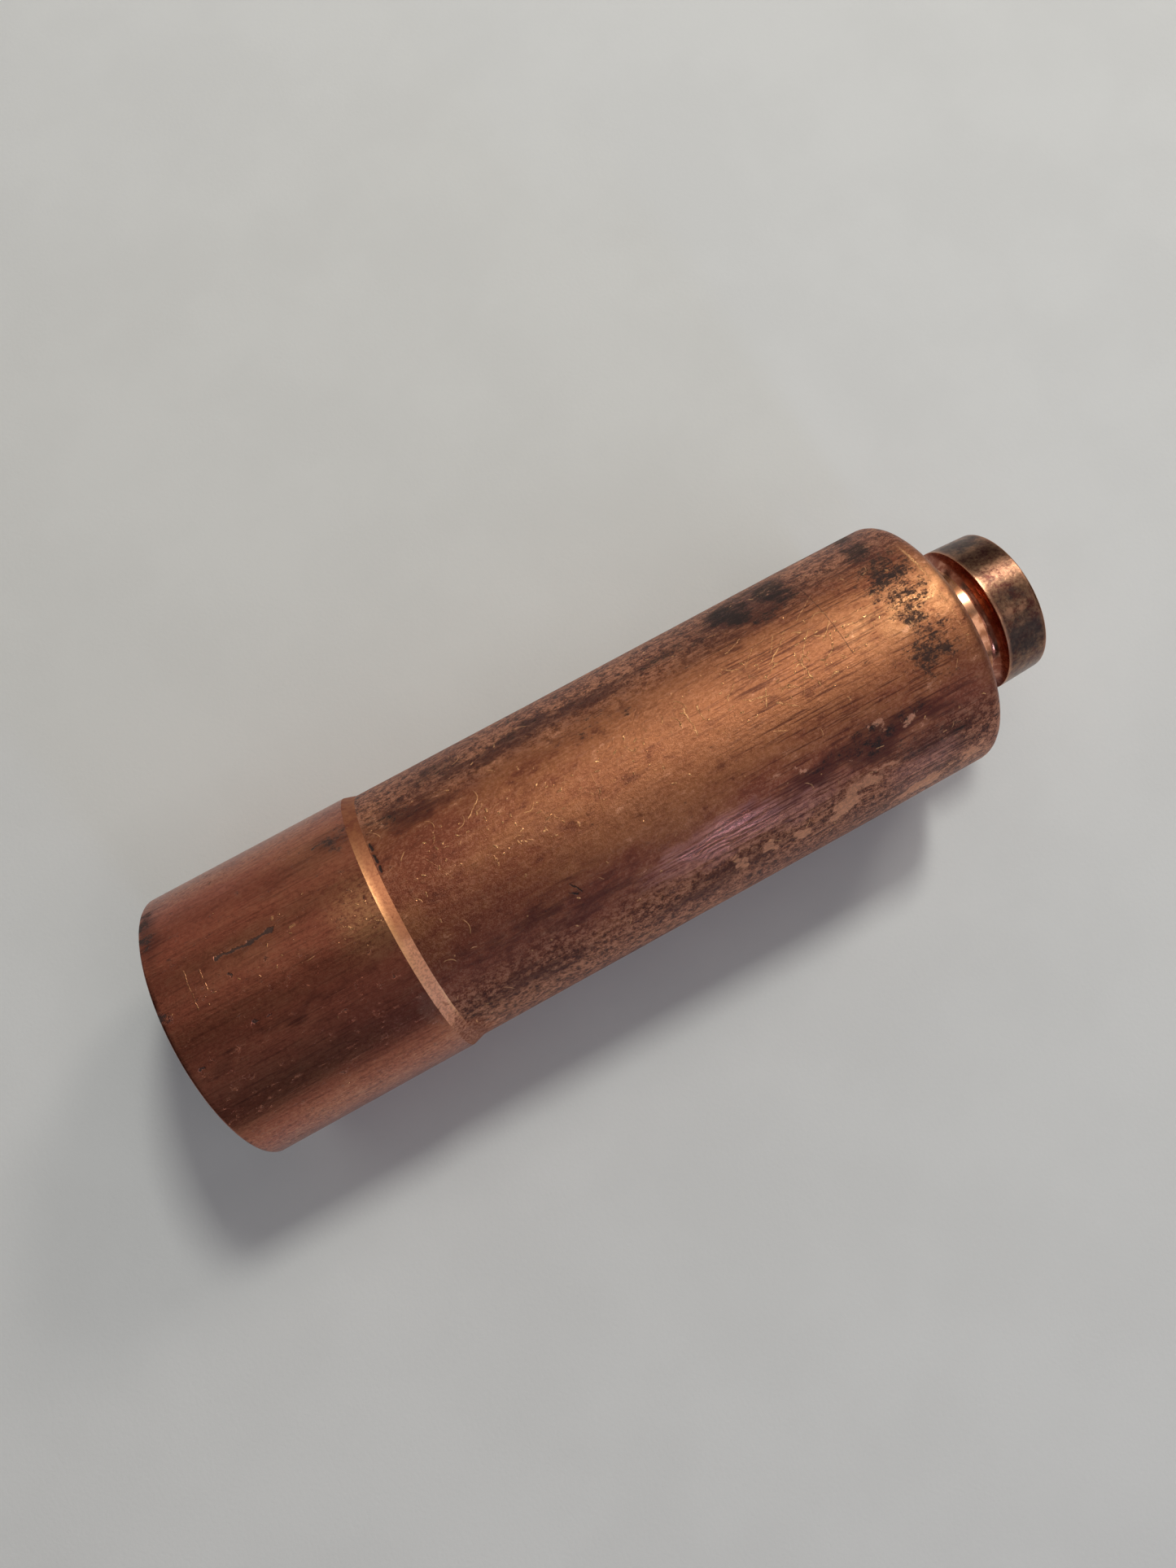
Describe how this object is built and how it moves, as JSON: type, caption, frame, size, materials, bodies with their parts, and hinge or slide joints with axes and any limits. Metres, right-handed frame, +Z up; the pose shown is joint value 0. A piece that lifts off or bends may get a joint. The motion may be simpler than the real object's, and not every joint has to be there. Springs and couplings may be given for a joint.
{
  "type": "concentric reducer",
  "caption": "Copper reducing sleeve on one axis: a wide open socket, a long barrel with a rounded shoulder, and a short neck with a nose collar.",
  "frame": {"origin": "under the middle of the sleeve's length, on the surface that it lies on", "axes": "+X along the sleeve's axis from the wide mouth to the nose, +Z up; the sleeve lies on its side"},
  "size_m": [0.1168, 0.036, 0.036],
  "materials": {
    "dull_copper": "red-brown oxidised copper, satin",
    "golden_copper": "mottled golden-brown copper patina, satin, with bright nicks",
    "polished_copper": "bare copper, polished",
    "sooted_copper": "copper under a dark tarnish, satin",
    "braze_filler": "bright copper-coloured brazing filler"
  },
  "bodies": {
    "root": {"mouth_socket": "dull_copper", "socket_braze_ring": "braze_filler", "barrel_shell": "golden_copper", "neck_tube": "polished_copper", "neck_braze_ring": "braze_filler", "collar_braze_ring": "braze_filler", "nose_collar": "sooted_copper"}
  },
  "joints": []
}
